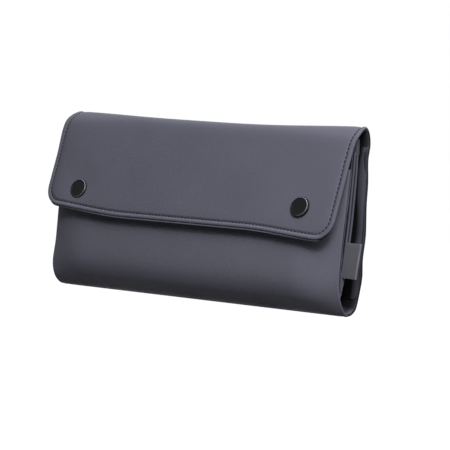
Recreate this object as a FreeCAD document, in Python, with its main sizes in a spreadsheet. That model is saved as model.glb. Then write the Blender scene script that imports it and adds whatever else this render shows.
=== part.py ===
import FreeCAD, Part
import math
import os
import re
import Sketcher

# A three-fold cable organizer pouch that stands on its bottom fold.
#   back + top fold + flap: one padded strip that rises behind, turns over a round top and hangs down in front
#   front + divider leaf:   a pocket in front with side gussets, its front panel crowned like a pillow
#   between the leaf and the back a tunnel runs straight through from side to side
# Two ring snaps hold the flap: cap and socket on the flap, stud and post on the front panel.
# Millimetres. +X runs along the pouch, +Y to its back, +Z up. The origin is the middle of the standing face.

SIZES = {
    # overall
    "body_width": 216,
    "base_depth": 24,
    "base_radius": 6,
    "fold_radius": 9.6,
    "fold_height": 99.5,
    # flap
    "flap_slant": 17.9,
    "flap_length": 61.1,
    "flap_overhang": 0.9,
    "flap_corner": 11,
    # padded strip, from the outside in
    "shell_thickness": 0.8,
    "padding_thickness": 1.2,
    "lining_thickness": 0.4,
    "hinge_gap": 0.3,
    # front panel
    "front_drop": 15.5,
    "corner_angle": 45,
    "bulge_drop": 1.8,
    "bulge_radius": 20,
    "crown_run": 18,
    "end_lean": 2.5,
    "end_curve": 1,
    # divider leaf and what is sewn to it
    "tunnel_depth": 9,
    "leaf_thickness": 0.6,
    "leaf_rise": 2,
    "leaf_foot": 10,
    "leaf_foot_gap": 0.8,
    "leaf_bend_radius": 80,
    "leaf_lean": 14,
    "binding_thickness": 0.4,
    "binding_width": 8,
    "band_height": 20,
    "band_thickness": 1,
    "band_inset": 10,
    "band_gap": 6.6,
    # slip pocket on the back
    "pocket_thickness": 0.6,
    "pocket_drop": 1.5,
    "pocket_hem": 6,
    "pocket_foot": 10,
    # gussets and label
    "gusset_thickness": 0.5,
    "gusset_foot": 14,
    "gusset_drop": 2,
    "label_foot": 22.2,
    "label_height": 20.2,
    "label_length": 11,
    "label_thickness": 1,
    # ring snaps
    "snap_side_inset": 24.4,
    "snap_inset": 17,
    "cap_diameter": 12.5,
    "cap_height": 1.5,
    "cap_bevel": 0.7,
    "cap_rim": 0.6,
    "cap_dish": 0.25,
    "cap_post_diameter": 3,
    "post_roll_diameter": 4.2,
    "post_roll": 0.2,
    "socket_diameter": 10,
    "socket_height": 2.1,
    "socket_floor": 0.3,
    "socket_bore": 5.5,
    "socket_lead": 0.35,
    "groove_height": 1.25,
    "groove_depth": 0.35,
    "spring_height": 0.6,
    "spring_width": 0.75,
    "spring_bore": 4.4,
    "spring_sweep": 325,
    "snap_clearance": 0.1,
    "stud_diameter": 9.2,
    "stud_flange": 0.4,
    "stud_head": 4.7,
    "stud_neck": 3.9,
    "front_post_diameter": 2.6,
    "front_disc_diameter": 9,
    "front_disc_height": 0.8,
}
ANGLES = ("flap_slant", "corner_angle", "end_lean", "end_curve", "leaf_lean", "spring_sweep")

doc = FreeCAD.newDocument("pouch")
sheet = doc.addObject("Spreadsheet::Sheet", "Sizes")
for row, (alias, number) in enumerate(SIZES.items(), start=1):
    sheet.set(f"A{row}", alias)
    sheet.set(f"B{row}", str(number))
    sheet.setAlias(f"B{row}", alias)
doc.recompute()

NODES = []
SIDES = (("left", -1), ("right", 1))
WORD = re.compile(r"\b(" + "|".join(sorted(SIZES, key=len, reverse=True)) + r")\b")


def formula(text):
    """An expression on the sheet's cells, from text that names the sizes; angles get their unit."""
    return WORD.sub(lambda m: f"(Sizes.{m[1]} * 1deg)" if m[1] in ANGLES else f"Sizes.{m[1]}", text)


def number(text):
    """What such an expression comes to now, in mm or degrees."""
    result = sheet.evalExpression(formula(text))
    return float(getattr(result, "Value", result))


def bind(thing, what, text):
    thing.setExpression(what, formula(text))


# ---------------------------------------------------------------- places that several pieces share
LAMINATE = "(shell_thickness + padding_thickness + lining_thickness)"
HALF = "(body_width / 2)"
FOLD_Y = "(base_depth / 2 - fold_radius)"
FOLD_QUARTER = "((180deg - flap_slant) / 4)"
FOLD_GAP = "(hinge_gap / fold_radius * 1rad)"
CORNER_GAP = "(hinge_gap / base_radius * 1rad)"
CORNER_Y = "(base_depth / 2 - base_radius)"
# the snap's parts lie one on the other between the flap's lining and the front panel
SNAP_STACK = "(socket_height + snap_clearance + stud_flange)"
FRONT_DEPTH = f"({LAMINATE} + {SNAP_STACK})"
SNAP_RUN = "(flap_length - snap_inset)"
SNAP_Y = f"({FOLD_Y} - fold_radius * cos(flap_slant) - {SNAP_RUN} * sin(flap_slant))"
SNAP_Z = f"(fold_height + fold_radius * sin(flap_slant) - {SNAP_RUN} * cos(flap_slant))"
GROOVE_TOP = f"({LAMINATE} + groove_height - spring_height / 2)"
GROOVE_FOOT = f"({LAMINATE} + groove_height + spring_height / 2)"
# the upper front panel lies parallel to the flap down to just below the snap, where its bulge begins
STRAIGHT = "(front_disc_diameter / 2 + bulge_drop)"
BULGE_DEPTH = f"({FRONT_DEPTH} + bulge_radius)"
BULGE_Y = f"({SNAP_Y} + {BULGE_DEPTH} * cos(flap_slant) - {STRAIGHT} * sin(flap_slant))"
BULGE_Z = f"({SNAP_Z} - {BULGE_DEPTH} * sin(flap_slant) - {STRAIGHT} * cos(flap_slant))"
FRONT_TOP = "(fold_height - front_drop)"
RISE_Y = f"({BULGE_Y} + {CORNER_Y})"
RISE_Z = f"({BULGE_Z} - base_radius)"
RISE = f"(hypot({RISE_Y}; {RISE_Z}))"
FRONT_RUN = f"(sqrt(pow({RISE}; 2) - pow(bulge_radius - base_radius; 2)))"
FRONT_LEAN = f"(atan2({RISE_Z}; {RISE_Y}) - acos((bulge_radius - base_radius) / {RISE}))"
# the divider leaf
LEAF_REAR = f"(base_depth / 2 - {LAMINATE} - pocket_thickness - tunnel_depth)"
LEAF_FRONT = f"({LEAF_REAR} - leaf_thickness)"
LEAF_FOOT_Y = f"(-base_depth / 2 + {LAMINATE} + leaf_foot_gap)"
LEAF_BEND_Y = "(leaf_bend_radius * (1 - cos(leaf_lean)))"
LEAF_RUN = f"(({LEAF_FRONT} - {LEAF_FOOT_Y} - {LEAF_BEND_Y}) / sin(leaf_lean))"
LEAF_BEND_Z = f"(leaf_foot + {LEAF_RUN} * cos(leaf_lean))"
LEAF_UPRIGHT_Z = f"({LEAF_BEND_Z} + leaf_bend_radius * sin(leaf_lean))"
LEAF_TOP = "(fold_height + leaf_rise)"


# ---------------------------------------------------------------- sketch helpers
def make_body(name):
    body = doc.addObject("PartDesign::Body", name)
    body.Label = name
    return body


def make_sketch(body, name, role, offset=None):
    plane = next(p for p in body.Origin.OriginFeatures if p.Role == role)
    sketch = body.newObject("Sketcher::SketchObject", f"{body.Name}_{name}")
    sketch.AttachmentSupport = [(plane, "")]
    sketch.MapMode = "FlatFace"
    if offset:
        bind(sketch, "AttachmentOffset.Base.z", offset)
    return sketch


def constrain(sketch, *terms, size=None):
    """One constraint; with a size it is a driven dimension bound to that expression."""
    if size is None:
        return sketch.addConstraint(Sketcher.Constraint(*terms))
    value = number(size)
    if terms[0] == "Angle":
        value = math.radians(value)
    index = sketch.addConstraint(Sketcher.Constraint(*terms, value))
    bind(sketch, f"Constraints[{index}]", size)
    return index


def draw_polygon(sketch, corners):
    """A closed polygon; each corner is a pair of expressions, each a driven dimension."""
    points = [FreeCAD.Vector(number(a), number(b), 0) for a, b in corners]
    count = len(points)
    for i in range(count):
        sketch.addGeometry(Part.LineSegment(points[i], points[(i + 1) % count]))
    for i in range(count):
        sketch.addConstraint(Sketcher.Constraint("Coincident", i, 2, (i + 1) % count, 1))
    for i, (across, along) in enumerate(corners):
        for kind, text, axis in (("DistanceX", across, -2), ("DistanceY", along, -1)):
            if text == "0":
                constrain(sketch, "PointOnObject", i, 1, axis)
            else:
                constrain(sketch, kind, i, 1, size=text)


class Path:
    """The outer line of a strip, seen in section: a start, a heading and its straight and round runs.

    Runs are ("line", length), ("arc", radius, turn) towards the inside of the pouch
    and ("hollow", radius, turn) away from it.
    """

    def __init__(self, start, heading, inside, runs):
        self.start, self.heading, self.inside, self.runs = start, heading, inside, runs


def turned(vector, degrees):
    return FreeCAD.Rotation(FreeCAD.Vector(0, 0, 1), degrees).multVec(vector)


def draw_ribbon(sketch, path, top, bottom):
    """The section of one layer of a strip, from the depth top to the depth bottom below its path."""
    side = 1 if path.inside == "left" else -1
    heading = number(path.heading)
    ahead = turned(FreeCAD.Vector(1, 0, 0), heading)
    inward = turned(ahead, 90 * side)
    start = FreeCAD.Vector(number(path.start[0]), number(path.start[1]), 0)
    depths = (number(top), number(bottom))
    place = [start + inward * depth for depth in depths]
    chains = [[], []]
    for run in path.runs:
        if run[0] == "line":
            step = ahead * number(run[1])
            for k in (0, 1):
                chains[k].append((sketch.addGeometry(Part.LineSegment(place[k], place[k] + step)), 1, 2))
                place[k] = place[k] + step
            continue
        bend = 1 if run[0] == "arc" else -1
        left = side * bend
        turn = number(run[2])
        centre = place[0] + inward * (number(run[1]) * bend - depths[0])
        for k in (0, 1):
            spoke = place[k] - centre
            far = turned(spoke, turn * left)
            first, last = (spoke, far) if left == 1 else (far, spoke)
            begin = math.atan2(first.y, first.x)
            circle = Part.Circle(centre, FreeCAD.Vector(0, 0, 1), spoke.Length)
            arc = Part.ArcOfCircle(circle, begin, begin + math.radians(turn))
            ends = (1, 2) if left == 1 else (2, 1)
            chains[k].append((sketch.addGeometry(arc), *ends))
            place[k] = centre + far
        ahead = turned(ahead, turn * left)
        inward = turned(inward, turn * left)

    outer, inner = chains
    caps = []
    for where, end in ((0, 1), (-1, 2)):
        spots = [sketch.getPoint(chain[where][0], chain[where][end]) for chain in chains]
        cap = sketch.addGeometry(Part.LineSegment(*spots))
        caps.append(cap)
        for k in (0, 1):
            constrain(sketch, "Coincident", cap, k + 1, chains[k][where][0], chains[k][where][end])
    for chain in chains:
        for before, after in zip(chain, chain[1:]):
            constrain(sketch, "Tangent", before[0], before[2], after[0], after[1])
    for run, near, far in zip(path.runs, outer, inner):
        if run[0] == "line":
            constrain(sketch, "Parallel", near[0], far[0])
            constrain(sketch, "Distance", near[0], size=run[1])
        else:
            constrain(sketch, "Coincident", near[0], 3, far[0], 3)
            depth = f"- ({top})" if run[0] == "arc" else f"+ ({top})"
            constrain(sketch, "Radius", near[0], size=f"({run[1]}) {depth}")
            constrain(sketch, "Angle", near[0], size=run[2])
    for cap, where in zip(caps, (0, -1)):
        if path.runs[where][0] == "line":
            constrain(sketch, "Perpendicular", cap, outer[where][0])
        else:
            constrain(sketch, "PointOnObject", outer[where][0], 3, cap)
    constrain(sketch, "Distance", caps[0], size=f"({bottom}) - ({top})")
    cap_heading = f"({path.heading}) + {90 * side} * 1deg"
    constrain(sketch, "Angle", caps[0], size=cap_heading)
    for kind, text, part in (("DistanceX", path.start[0], "cos"), ("DistanceY", path.start[1], "sin")):
        constrain(sketch, kind, caps[0], 1, size=f"({text}) + ({top}) * {part}({cap_heading})")


def pad_across(body, sketch, width):
    """Pads a section on the YZ plane evenly to both sides."""
    pad = body.newObject("PartDesign::Pad", f"{body.Name}_pad")
    pad.Profile = sketch
    pad.SideType = "Symmetric"
    bind(pad, "Length", width)
    return pad


def pad_on(body, sketch, length):
    """Pads a section towards +X from its plane."""
    pad = body.newObject("PartDesign::Pad", f"{body.Name}_pad")
    pad.Profile = sketch
    bind(pad, "Length", length)
    return pad


def loft_through(body, sketches):
    loft = body.newObject("PartDesign::AdditiveLoft", f"{body.Name}_loft")
    loft.Profile = sketches[0]
    loft.Sections = sketches[1:]
    loft.Ruled = True
    return loft


def keep(thing, node):
    thing.Label = node
    NODES.append(thing)
    return thing


def strip(node, path, top, bottom, width="body_width"):
    """One layer of the padded strip, as long as its path and as wide as the pouch."""
    body = make_body(node)
    sketch = make_sketch(body, "section", "YZ_Plane")
    draw_ribbon(sketch, path, top, bottom)
    pad_across(body, sketch, width)
    return body


# ---------------------------------------------------------------- the strip's layers
LAYERS = {
    "shell": ("0", "shell_thickness"),
    "padding": ("shell_thickness", "shell_thickness + padding_thickness"),
    "lining": ("shell_thickness + padding_thickness", LAMINATE),
}


def fold_point(angle):
    """A point on the outside of the top fold and the heading of the strip there, going forwards."""
    where = (f"{FOLD_Y} + fold_radius * cos({angle})", f"fold_height + fold_radius * sin({angle})")
    return where, f"{angle} + 90deg"


def corner_point(angle):
    """A point on the outside of the front bottom corner, at an angle about the corner's centre."""
    return (f"-{CORNER_Y} + base_radius * cos({angle})", f"base_radius + base_radius * sin({angle})")


def bottom_path():
    begin = f"(270deg - corner_angle + {CORNER_GAP})"
    first_turn = f"corner_angle - {CORNER_GAP}"
    runs = [("arc", "base_radius", first_turn), ("line", f"2 * {CORNER_Y}"), ("arc", "base_radius", "90deg")]
    return Path(corner_point(begin), f"{begin} + 90deg", "left", runs)


def back_path():
    runs = [("line", "fold_height - base_radius"), ("arc", "fold_radius", f"{FOLD_QUARTER} - {FOLD_GAP}")]
    return Path(("base_depth / 2", "base_radius"), "90deg", "left", runs)


def top_fold_path():
    where, heading = fold_point(FOLD_QUARTER)
    return Path(where, heading, "left", [("arc", "fold_radius", f"2 * {FOLD_QUARTER} - {FOLD_GAP}")])


def flap_path():
    where, heading = fold_point(f"(3 * {FOLD_QUARTER})")
    return Path(where, heading, "left", [("arc", "fold_radius", FOLD_QUARTER), ("line", "flap_length")])


def front_path(lean, upper_lean):
    """The front panel's line where its lower part leans out and its upper part leans in by these angles."""
    begin = "(270deg - corner_angle)"
    bend_z = (
        f"(base_radius * (1 - sin({lean})) + {FRONT_RUN} * cos({lean})"
        f" + bulge_radius * (sin({upper_lean}) + sin({lean})))"
    )
    runs = [
        ("arc", "base_radius", f"90deg - corner_angle - ({lean})"),
        ("line", FRONT_RUN),
        ("arc", "bulge_radius", f"({lean}) + ({upper_lean})"),
        ("line", f"({FRONT_TOP} - {bend_z}) / cos({upper_lean})"),
    ]
    return Path(corner_point(begin), f"{begin} - 90deg", "right", runs)


FULL_FRONT = front_path(FRONT_LEAN, "flap_slant")


def front_shell():
    """The front panel's outer cloth: full between the two crown lines, flatter at each end."""
    crown_x = f"({HALF} - crown_run)"
    end = front_path("(-end_lean)", "(end_lean + end_curve)")
    stations = [("left_end", f"-{HALF}", end), ("left_crown", f"-{crown_x}", FULL_FRONT)]
    stations += [("right_crown", crown_x, FULL_FRONT), ("right_end", HALF, end)]
    body = make_body("front_shell")
    sketches = []
    for name, x, path in stations:
        sketch = make_sketch(body, name, "YZ_Plane", x)
        draw_ribbon(sketch, path, *LAYERS["shell"])
        sketches.append(sketch)
    loft_through(body, sketches)
    return body


def round_flap_corners(body, thickness):
    """Rounds the two free corners of a flap layer."""
    doc.recompute()
    pad = body.Tip
    across = [
        (edge.CenterOfMass.z, f"Edge{i}")
        for i, edge in enumerate(pad.Shape.Edges, start=1)
        if abs(edge.Length - number(thickness)) < 1e-4 and abs(edge.BoundBox.XLength) < 1e-6
    ]
    corners = [name for _, name in sorted(across)[:2]]
    fillet = body.newObject("PartDesign::Fillet", f"{body.Name}_corners")
    fillet.Base = (pad, corners)
    bind(fillet, "Radius", "flap_corner")


def set_at_snap(thing, side):
    """Puts a piece's own origin at a snap's centre on the flap's face, its Z axis pointing into the pouch."""
    thing.Placement = FreeCAD.Placement(FreeCAD.Vector(), FreeCAD.Rotation(FreeCAD.Vector(-1, 0, 0), 100))
    bind(thing, "Placement.Base.x", f"{side} * ({HALF} - snap_side_inset)")
    bind(thing, "Placement.Base.y", SNAP_Y)
    bind(thing, "Placement.Base.z", SNAP_Z)
    bind(thing, "Placement.Rotation.Angle", "90deg + flap_slant")


def drilled(body, node, diameter):
    """The layer with a hole for each snap's post."""
    drills = []
    for name, side in SIDES:
        drill = doc.addObject("Part::Cylinder", f"{node}_drill_{name}")
        set_at_snap(drill, side)
        bind(drill, "Radius", f"{diameter} / 2")
        bind(drill, "Height", f"2 * {LAMINATE} + {SNAP_STACK} + 1")
        drills.append(drill)
    both = doc.addObject("Part::MultiFuse", f"{node}_drills")
    both.Shapes = drills
    body.Label = f"{node}_blank"
    cut = doc.addObject("Part::Cut", f"{node}_drilled")
    cut.Base = body
    cut.Tool = both
    return keep(cut, node)


def make_strip():
    regions = {"bottom": bottom_path(), "back": back_path(), "top_fold": top_fold_path()}
    for region, path in regions.items():
        for layer, (top, bottom) in LAYERS.items():
            node = f"{region}_{layer}"
            keep(strip(node, path, top, bottom), node)
    for layer, (top, bottom) in LAYERS.items():
        node = f"flap_{layer}"
        body = strip(node, flap_path(), top, bottom, "body_width + 2 * flap_overhang")
        round_flap_corners(body, f"({bottom}) - ({top})")
        drilled(body, node, "cap_post_diameter")
    drilled(front_shell(), "front_shell", "front_post_diameter")
    for layer in ("padding", "lining"):
        node = f"front_{layer}"
        insert = strip(node, FULL_FRONT, *LAYERS[layer], "body_width - 2 * crown_run")
        drilled(insert, node, "front_post_diameter")


# ---------------------------------------------------------------- flat pieces inside
def make_back_pocket():
    """A slip pocket on the back's lining, its upper edge folded over and hemmed."""
    rear = f"(base_depth / 2 - {LAMINATE})"
    face = f"({rear} - pocket_thickness)"
    hem_face = f"({face} - pocket_thickness)"
    pocket_top = "(fold_height - pocket_drop)"
    hem_foot = f"({pocket_top} - pocket_hem)"
    corners = [
        (rear, "pocket_foot"),
        (rear, pocket_top),
        (hem_face, pocket_top),
        (hem_face, hem_foot),
        (face, hem_foot),
        (face, "pocket_foot"),
    ]
    body = make_body("back_pocket")
    sketch = make_sketch(body, "section", "YZ_Plane")
    draw_polygon(sketch, corners)
    pad_across(body, sketch, "body_width")
    keep(body, "back_pocket")


def make_leaf():
    runs = [
        ("line", LEAF_RUN),
        ("hollow", "leaf_bend_radius", "leaf_lean"),
        ("line", f"{LEAF_TOP} - {LEAF_UPRIGHT_Z}"),
    ]
    path = Path((LEAF_FOOT_Y, "leaf_foot"), "90deg - leaf_lean", "right", runs)
    keep(strip("divider_leaf", path, "0", "leaf_thickness"), "divider_leaf")

    over = "(leaf_thickness / 2 + binding_thickness)"
    start = (f"{LEAF_FRONT} - binding_thickness", f"{LEAF_TOP} - binding_width")
    runs = [("line", "binding_width"), ("arc", over, "180deg"), ("line", "binding_width")]
    path = Path(start, "90deg", "right", runs)
    keep(strip("leaf_binding", path, "0", "binding_thickness"), "leaf_binding")


def make_cable_band():
    """Elastic band sewn flat to the leaf's rear face; the stitches across it part it into cable loops."""
    rear = f"({LEAF_REAR} + band_thickness)"
    foot = f"({LEAF_UPRIGHT_Z} + band_gap)"
    top = f"({foot} + band_height)"
    body = make_body("cable_loop_band")
    sketch = make_sketch(body, "section", "YZ_Plane")
    draw_polygon(sketch, [(LEAF_REAR, foot), (rear, foot), (rear, top), (LEAF_REAR, top)])
    pad_across(body, sketch, "body_width - 2 * band_inset")
    keep(body, "cable_loop_band")


# ---------------------------------------------------------------- gussets and label
def end_inner_y(z):
    """The front shell's inner face at the pouch's ends, which foam and lining don't reach."""
    upper_lean = "(end_lean + end_curve)"
    foot_y = f"(-{CORNER_Y} - base_radius * cos(end_lean))"
    foot_z = "(base_radius * (1 + sin(end_lean)))"
    run = f"({FRONT_RUN} + bulge_radius * tan(end_curve / 2))"
    bend_y = f"({foot_y} + {run} * sin(end_lean))"
    bend_z = f"({foot_z} + {run} * cos(end_lean))"
    lower = f"{foot_y} + tan(end_lean) * ({z} - {foot_z}) + shell_thickness / cos(end_lean)"
    upper = f"{bend_y} + tan({upper_lean}) * ({z} - {bend_z}) + shell_thickness / cos({upper_lean})"
    return f"max({lower}; {upper})"


def leaf_line_y(z):
    return f"({LEAF_FOOT_Y} + tan(leaf_lean) * ({z} - leaf_foot))"


def gusset_levels():
    """Heights, each with the front shell's inner face and the leaf's front face there."""
    top = f"({FRONT_TOP} - gusset_drop)"
    return [
        ("gusset_foot", end_inner_y("gusset_foot"), leaf_line_y("gusset_foot")),
        (LEAF_BEND_Z, end_inner_y(LEAF_BEND_Z), leaf_line_y(LEAF_BEND_Z)),
        (LEAF_UPRIGHT_Z, end_inner_y(LEAF_UPRIGHT_Z), LEAF_FRONT),
        (top, end_inner_y(top), LEAF_FRONT),
    ]


def fold_y(front, rear, side="0"):
    """The gusset's fold, midway between front and leaf; side -1 or 1 is the edge of its half there."""
    return f"(({front} + {rear}) / 2 + {side} * hinge_gap / 2)"


def gusset_half(node, side, half):
    """Half of a side gusset, from the front shell or the leaf to the fold between the halves."""
    edge = []
    fold = []
    for z, front, rear in gusset_levels():
        edge.append((front if half == "front" else rear, z))
        fold.append((fold_y(front, rear, "-1" if half == "front" else "1"), z))
    body = make_body(node)
    inner = f"({HALF} - gusset_thickness)"
    sketch = make_sketch(body, "outline", "YZ_Plane", inner if side == 1 else f"-{HALF}")
    draw_polygon(sketch, edge + fold[::-1])
    pad_on(body, sketch, "gusset_thickness")
    return body


def make_label():
    """A folded woven label, sewn into the fold of the right front gusset and standing out sideways."""
    levels = gusset_levels()
    low, high = levels[0], levels[2]
    low_y = fold_y(low[1], low[2], "-1")
    high_y = fold_y(high[1], high[2], "-1")
    slope = f"(({high_y} - {low_y}) / ({high[0]} - {low[0]}))"
    top = "(label_foot + label_height)"

    def face(z, depth):
        return f"({low_y} + {slope} * ({z} - {low[0]}) - {depth})"

    outline = [("label_foot", "0"), (top, "0"), (top, "label_thickness"), ("label_foot", "label_thickness")]
    body = make_body("side_label")
    sketch = make_sketch(body, "section", "YZ_Plane", f"{HALF} - gusset_thickness")
    draw_polygon(sketch, [(face(z, depth), z) for z, depth in outline])
    pad_on(body, sketch, "gusset_thickness + label_length")
    return keep(body, "side_label")


def make_gussets_and_label():
    label = make_label()
    for name, side in SIDES:
        rear = gusset_half(f"gusset_rear_{name}", side, "rear")
        keep(rear, f"gusset_rear_{name}")
        front = gusset_half(f"gusset_front_{name}", side, "front")
        if name == "left":
            keep(front, f"gusset_front_{name}")
            continue
        front.Label = "gusset_front_right_blank"
        slit = doc.addObject("Part::Cut", "gusset_front_right_slit")
        slit.Base = front
        slit.Tool = label
        keep(slit, "gusset_front_right")


# ---------------------------------------------------------------- ring snaps
def turned_piece(node, side, corners, sweep="360deg"):
    """A round snap part, from corners given as radius and depth below the flap's face."""
    body = make_body(node)
    sketch = make_sketch(body, "section", "XZ_Plane")
    draw_polygon(sketch, corners)
    turn = body.newObject("PartDesign::Revolution", f"{node}_revolution")
    turn.Profile = sketch
    turn.ReferenceAxis = (sketch, ["V_Axis"])
    bind(turn, "Angle", sweep)
    set_at_snap(body, side)
    keep(body, node)


def make_cap(name, side):
    """The visible cap with its dished face and bevelled rim, on a post riveted over inside the socket."""
    rim, post, roll = "cap_diameter / 2", "cap_post_diameter / 2", "post_roll_diameter / 2"
    seat = f"({LAMINATE} + socket_floor)"
    corners = [
        ("0", "-cap_height + cap_dish"),
        (f"{rim} - cap_bevel - cap_rim - cap_dish", "-cap_height + cap_dish"),
        (f"{rim} - cap_bevel - cap_rim", "-cap_height"),
        (f"{rim} - cap_bevel", "-cap_height"),
        (rim, "-cap_height + cap_bevel"),
        (rim, "0"),
        (post, "0"),
        (post, seat),
        (roll, seat),
        (roll, f"{seat} + post_roll"),
        ("0", f"{seat} + post_roll"),
    ]
    turned_piece(f"snap_cap_{name}", side, corners)


def make_socket(name, side):
    """The female part: a floor under the flap, a bore with a lead-in and a groove for the ring spring."""
    rim, post, bore = "socket_diameter / 2", "cap_post_diameter / 2", "socket_bore / 2"
    mouth = f"({LAMINATE} + socket_height)"
    floor = f"({LAMINATE} + socket_floor)"
    corners = [
        (post, LAMINATE),
        (rim, LAMINATE),
        (rim, mouth),
        (f"{bore} + socket_lead", mouth),
        (bore, f"{mouth} - socket_lead"),
        (bore, GROOVE_FOOT),
        (f"{bore} + groove_depth", GROOVE_FOOT),
        (f"{bore} + groove_depth", GROOVE_TOP),
        (bore, GROOVE_TOP),
        (bore, floor),
        (post, floor),
    ]
    turned_piece(f"snap_socket_{name}", side, corners)


def make_spring(name, side):
    """The split ring in the socket's groove that snaps over the stud's head."""
    inner, outer = "spring_bore / 2", "spring_bore / 2 + spring_width"
    corners = [(inner, GROOVE_TOP), (outer, GROOVE_TOP), (outer, GROOVE_FOOT), (inner, GROOVE_FOOT)]
    turned_piece(f"snap_spring_{name}", side, corners, "spring_sweep")


def make_stud(name, side):
    """The male part on the front panel: a flange, a neck where the spring sits and a rounded head."""
    flange, head, neck = "stud_diameter / 2", "stud_head / 2", "stud_neck / 2"
    bore = "front_post_diameter / 2"
    seat = FRONT_DEPTH
    shoulder = f"({seat} - stud_flange)"
    tip = f"({LAMINATE} + socket_floor + post_roll + snap_clearance)"
    neck_top = f"({GROOVE_TOP} - snap_clearance / 2)"
    neck_foot = f"({GROOVE_FOOT} + snap_clearance / 2)"
    corners = [
        (bore, tip),
        (neck, tip),
        (head, f"({tip} + {neck_top}) / 2"),
        (neck, neck_top),
        (neck, neck_foot),
        (head, f"({neck_foot} + {shoulder}) / 2"),
        (head, shoulder),
        (flange, shoulder),
        (flange, seat),
        (bore, seat),
    ]
    turned_piece(f"snap_stud_{name}", side, corners)


def make_post(name, side):
    """The disc inside the front pocket whose stem runs through the panel and carries the stud."""
    disc, stem = "front_disc_diameter / 2", "front_post_diameter / 2"
    seat = f"({FRONT_DEPTH} + {LAMINATE})"
    tip = f"({LAMINATE} + socket_floor + post_roll + snap_clearance)"
    edge = "(front_disc_height / 2)"
    corners = [
        ("0", tip),
        (stem, tip),
        (stem, seat),
        (disc, seat),
        (disc, f"{seat} + {edge}"),
        (f"{disc} - {edge}", f"{seat} + front_disc_height"),
        ("0", f"{seat} + front_disc_height"),
    ]
    turned_piece(f"snap_post_{name}", side, corners)


def make_snaps():
    for name, side in SIDES:
        make_cap(name, side)
        make_socket(name, side)
        make_spring(name, side)
        make_stud(name, side)
        make_post(name, side)


# ---------------------------------------------------------------- build, check and write
make_strip()
make_back_pocket()
make_leaf()
make_cable_band()
make_gussets_and_label()
make_snaps()
doc.recompute()

for thing in doc.Objects:
    if any(word in ("Invalid", "Error") for word in thing.State):
        raise RuntimeError(f"{thing.Label} failed: {thing.State}")
    if thing.TypeId == "Sketcher::SketchObject" and not thing.FullyConstrained:
        print("free sketch:", thing.Name)
for node in NODES:
    if node.Shape.isNull() or not node.Shape.isValid() or len(node.Shape.Solids) != 1:
        raise RuntimeError(f"{node.Label} is not one valid solid")

os.makedirs("parts", exist_ok=True)
for node in NODES:
    node.Shape.exportStep(f"parts/{node.Label}.step")
    print(f"{node.Label}: {node.Shape.Volume:.1f} mm3")
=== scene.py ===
"""A fabric cable organiser pouch, closed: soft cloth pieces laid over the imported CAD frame."""

import math

import bmesh
import bpy
import numpy as np
from mathutils import Matrix, Vector


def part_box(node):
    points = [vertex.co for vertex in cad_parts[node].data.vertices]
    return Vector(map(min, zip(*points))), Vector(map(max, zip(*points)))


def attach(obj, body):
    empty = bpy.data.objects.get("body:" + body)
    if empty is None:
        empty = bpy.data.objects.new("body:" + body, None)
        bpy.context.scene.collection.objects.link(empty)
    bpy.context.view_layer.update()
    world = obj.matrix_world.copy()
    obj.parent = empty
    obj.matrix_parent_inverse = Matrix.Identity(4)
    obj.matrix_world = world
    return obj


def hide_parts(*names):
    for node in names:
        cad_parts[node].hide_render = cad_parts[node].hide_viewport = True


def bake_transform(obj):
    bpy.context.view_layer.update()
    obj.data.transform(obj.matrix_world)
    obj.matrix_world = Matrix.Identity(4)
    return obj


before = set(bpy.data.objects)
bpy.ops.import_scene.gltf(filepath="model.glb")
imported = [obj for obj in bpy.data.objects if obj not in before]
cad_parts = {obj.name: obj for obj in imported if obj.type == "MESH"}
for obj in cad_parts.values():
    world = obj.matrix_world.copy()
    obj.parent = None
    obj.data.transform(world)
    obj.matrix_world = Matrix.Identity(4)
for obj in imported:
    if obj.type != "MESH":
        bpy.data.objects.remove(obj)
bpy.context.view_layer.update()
MM = 0.001


def span(node):
    """A CAD node's lowest and highest corners in millimetres."""
    low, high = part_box(node)
    return np.array(low) / MM, np.array(high) / MM


def middle(node):
    """The middle of a CAD node's box in millimetres."""
    return sum(span(node)) / 2


def smooth(start, end, value):
    """0 up to start, 1 from end on, with an even curve between them."""
    t = np.clip((value - start) / (end - start), 0, 1)
    return t * t * (3 - 2 * t)


def bump(centre, width, value):
    """1 at the centre, falling away on both sides."""
    return np.exp(-(((value - centre) / width) ** 2))


HALF = span("back_shell")[1][0]  # half the pouch's width, in mm
FLAP_HALF = span("flap_shell")[1][0]  # and half the flap's
CAP_AT = middle("snap_cap_right")
CAP_X = CAP_AT[0]
SLANT = math.radians(17.9)  # how far flap and front panel lean back
CAP_WAY = (0, -math.cos(SLANT), math.sin(SLANT))  # the snap caps' axis

# ---------------------------------------------------------------- materials

RIB_TURN = math.radians(-50)  # the twill's ribs, against the pouch's length
THREAD_TURN = math.radians(40)  # and the finer thread across them
NOISE = (0.3, 0.7)  # most of a noise's values lie between these
# painted highlight: a thin ring on each snap cap's bevel is painted bright, most of all on its
# upper right, where a reflection would catch the light
PAINTED_RING_RADII = (0.00545, 0.0055, 0.0056, 0.00565)  # radii at which a cap's painted highlight ring starts, is full and ends
PAINTED_HIGHLIGHT_LEVELS = (1.0, 75.0)  # the painted highlight's dark and bright side, as multiples of the cap's colour
PAINTED_HIGHLIGHT_REACH = (-0.004, 0.005)  # where those two sides lie, from the cap's middle
PAINTED_HIGHLIGHT_WAY = (0.85, 0.5)  # right and up: the way to the painted highlight's bright side


def colour(red, green, blue):
    """Turns an 8-bit sRGB colour into the linear one that a shader takes."""
    linear = []
    for value in (red, green, blue):
        v = value / 255
        linear.append(v / 12.92 if v <= 0.04045 else ((v + 0.055) / 1.055) ** 2.4)
    return (*linear, 1)


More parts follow.
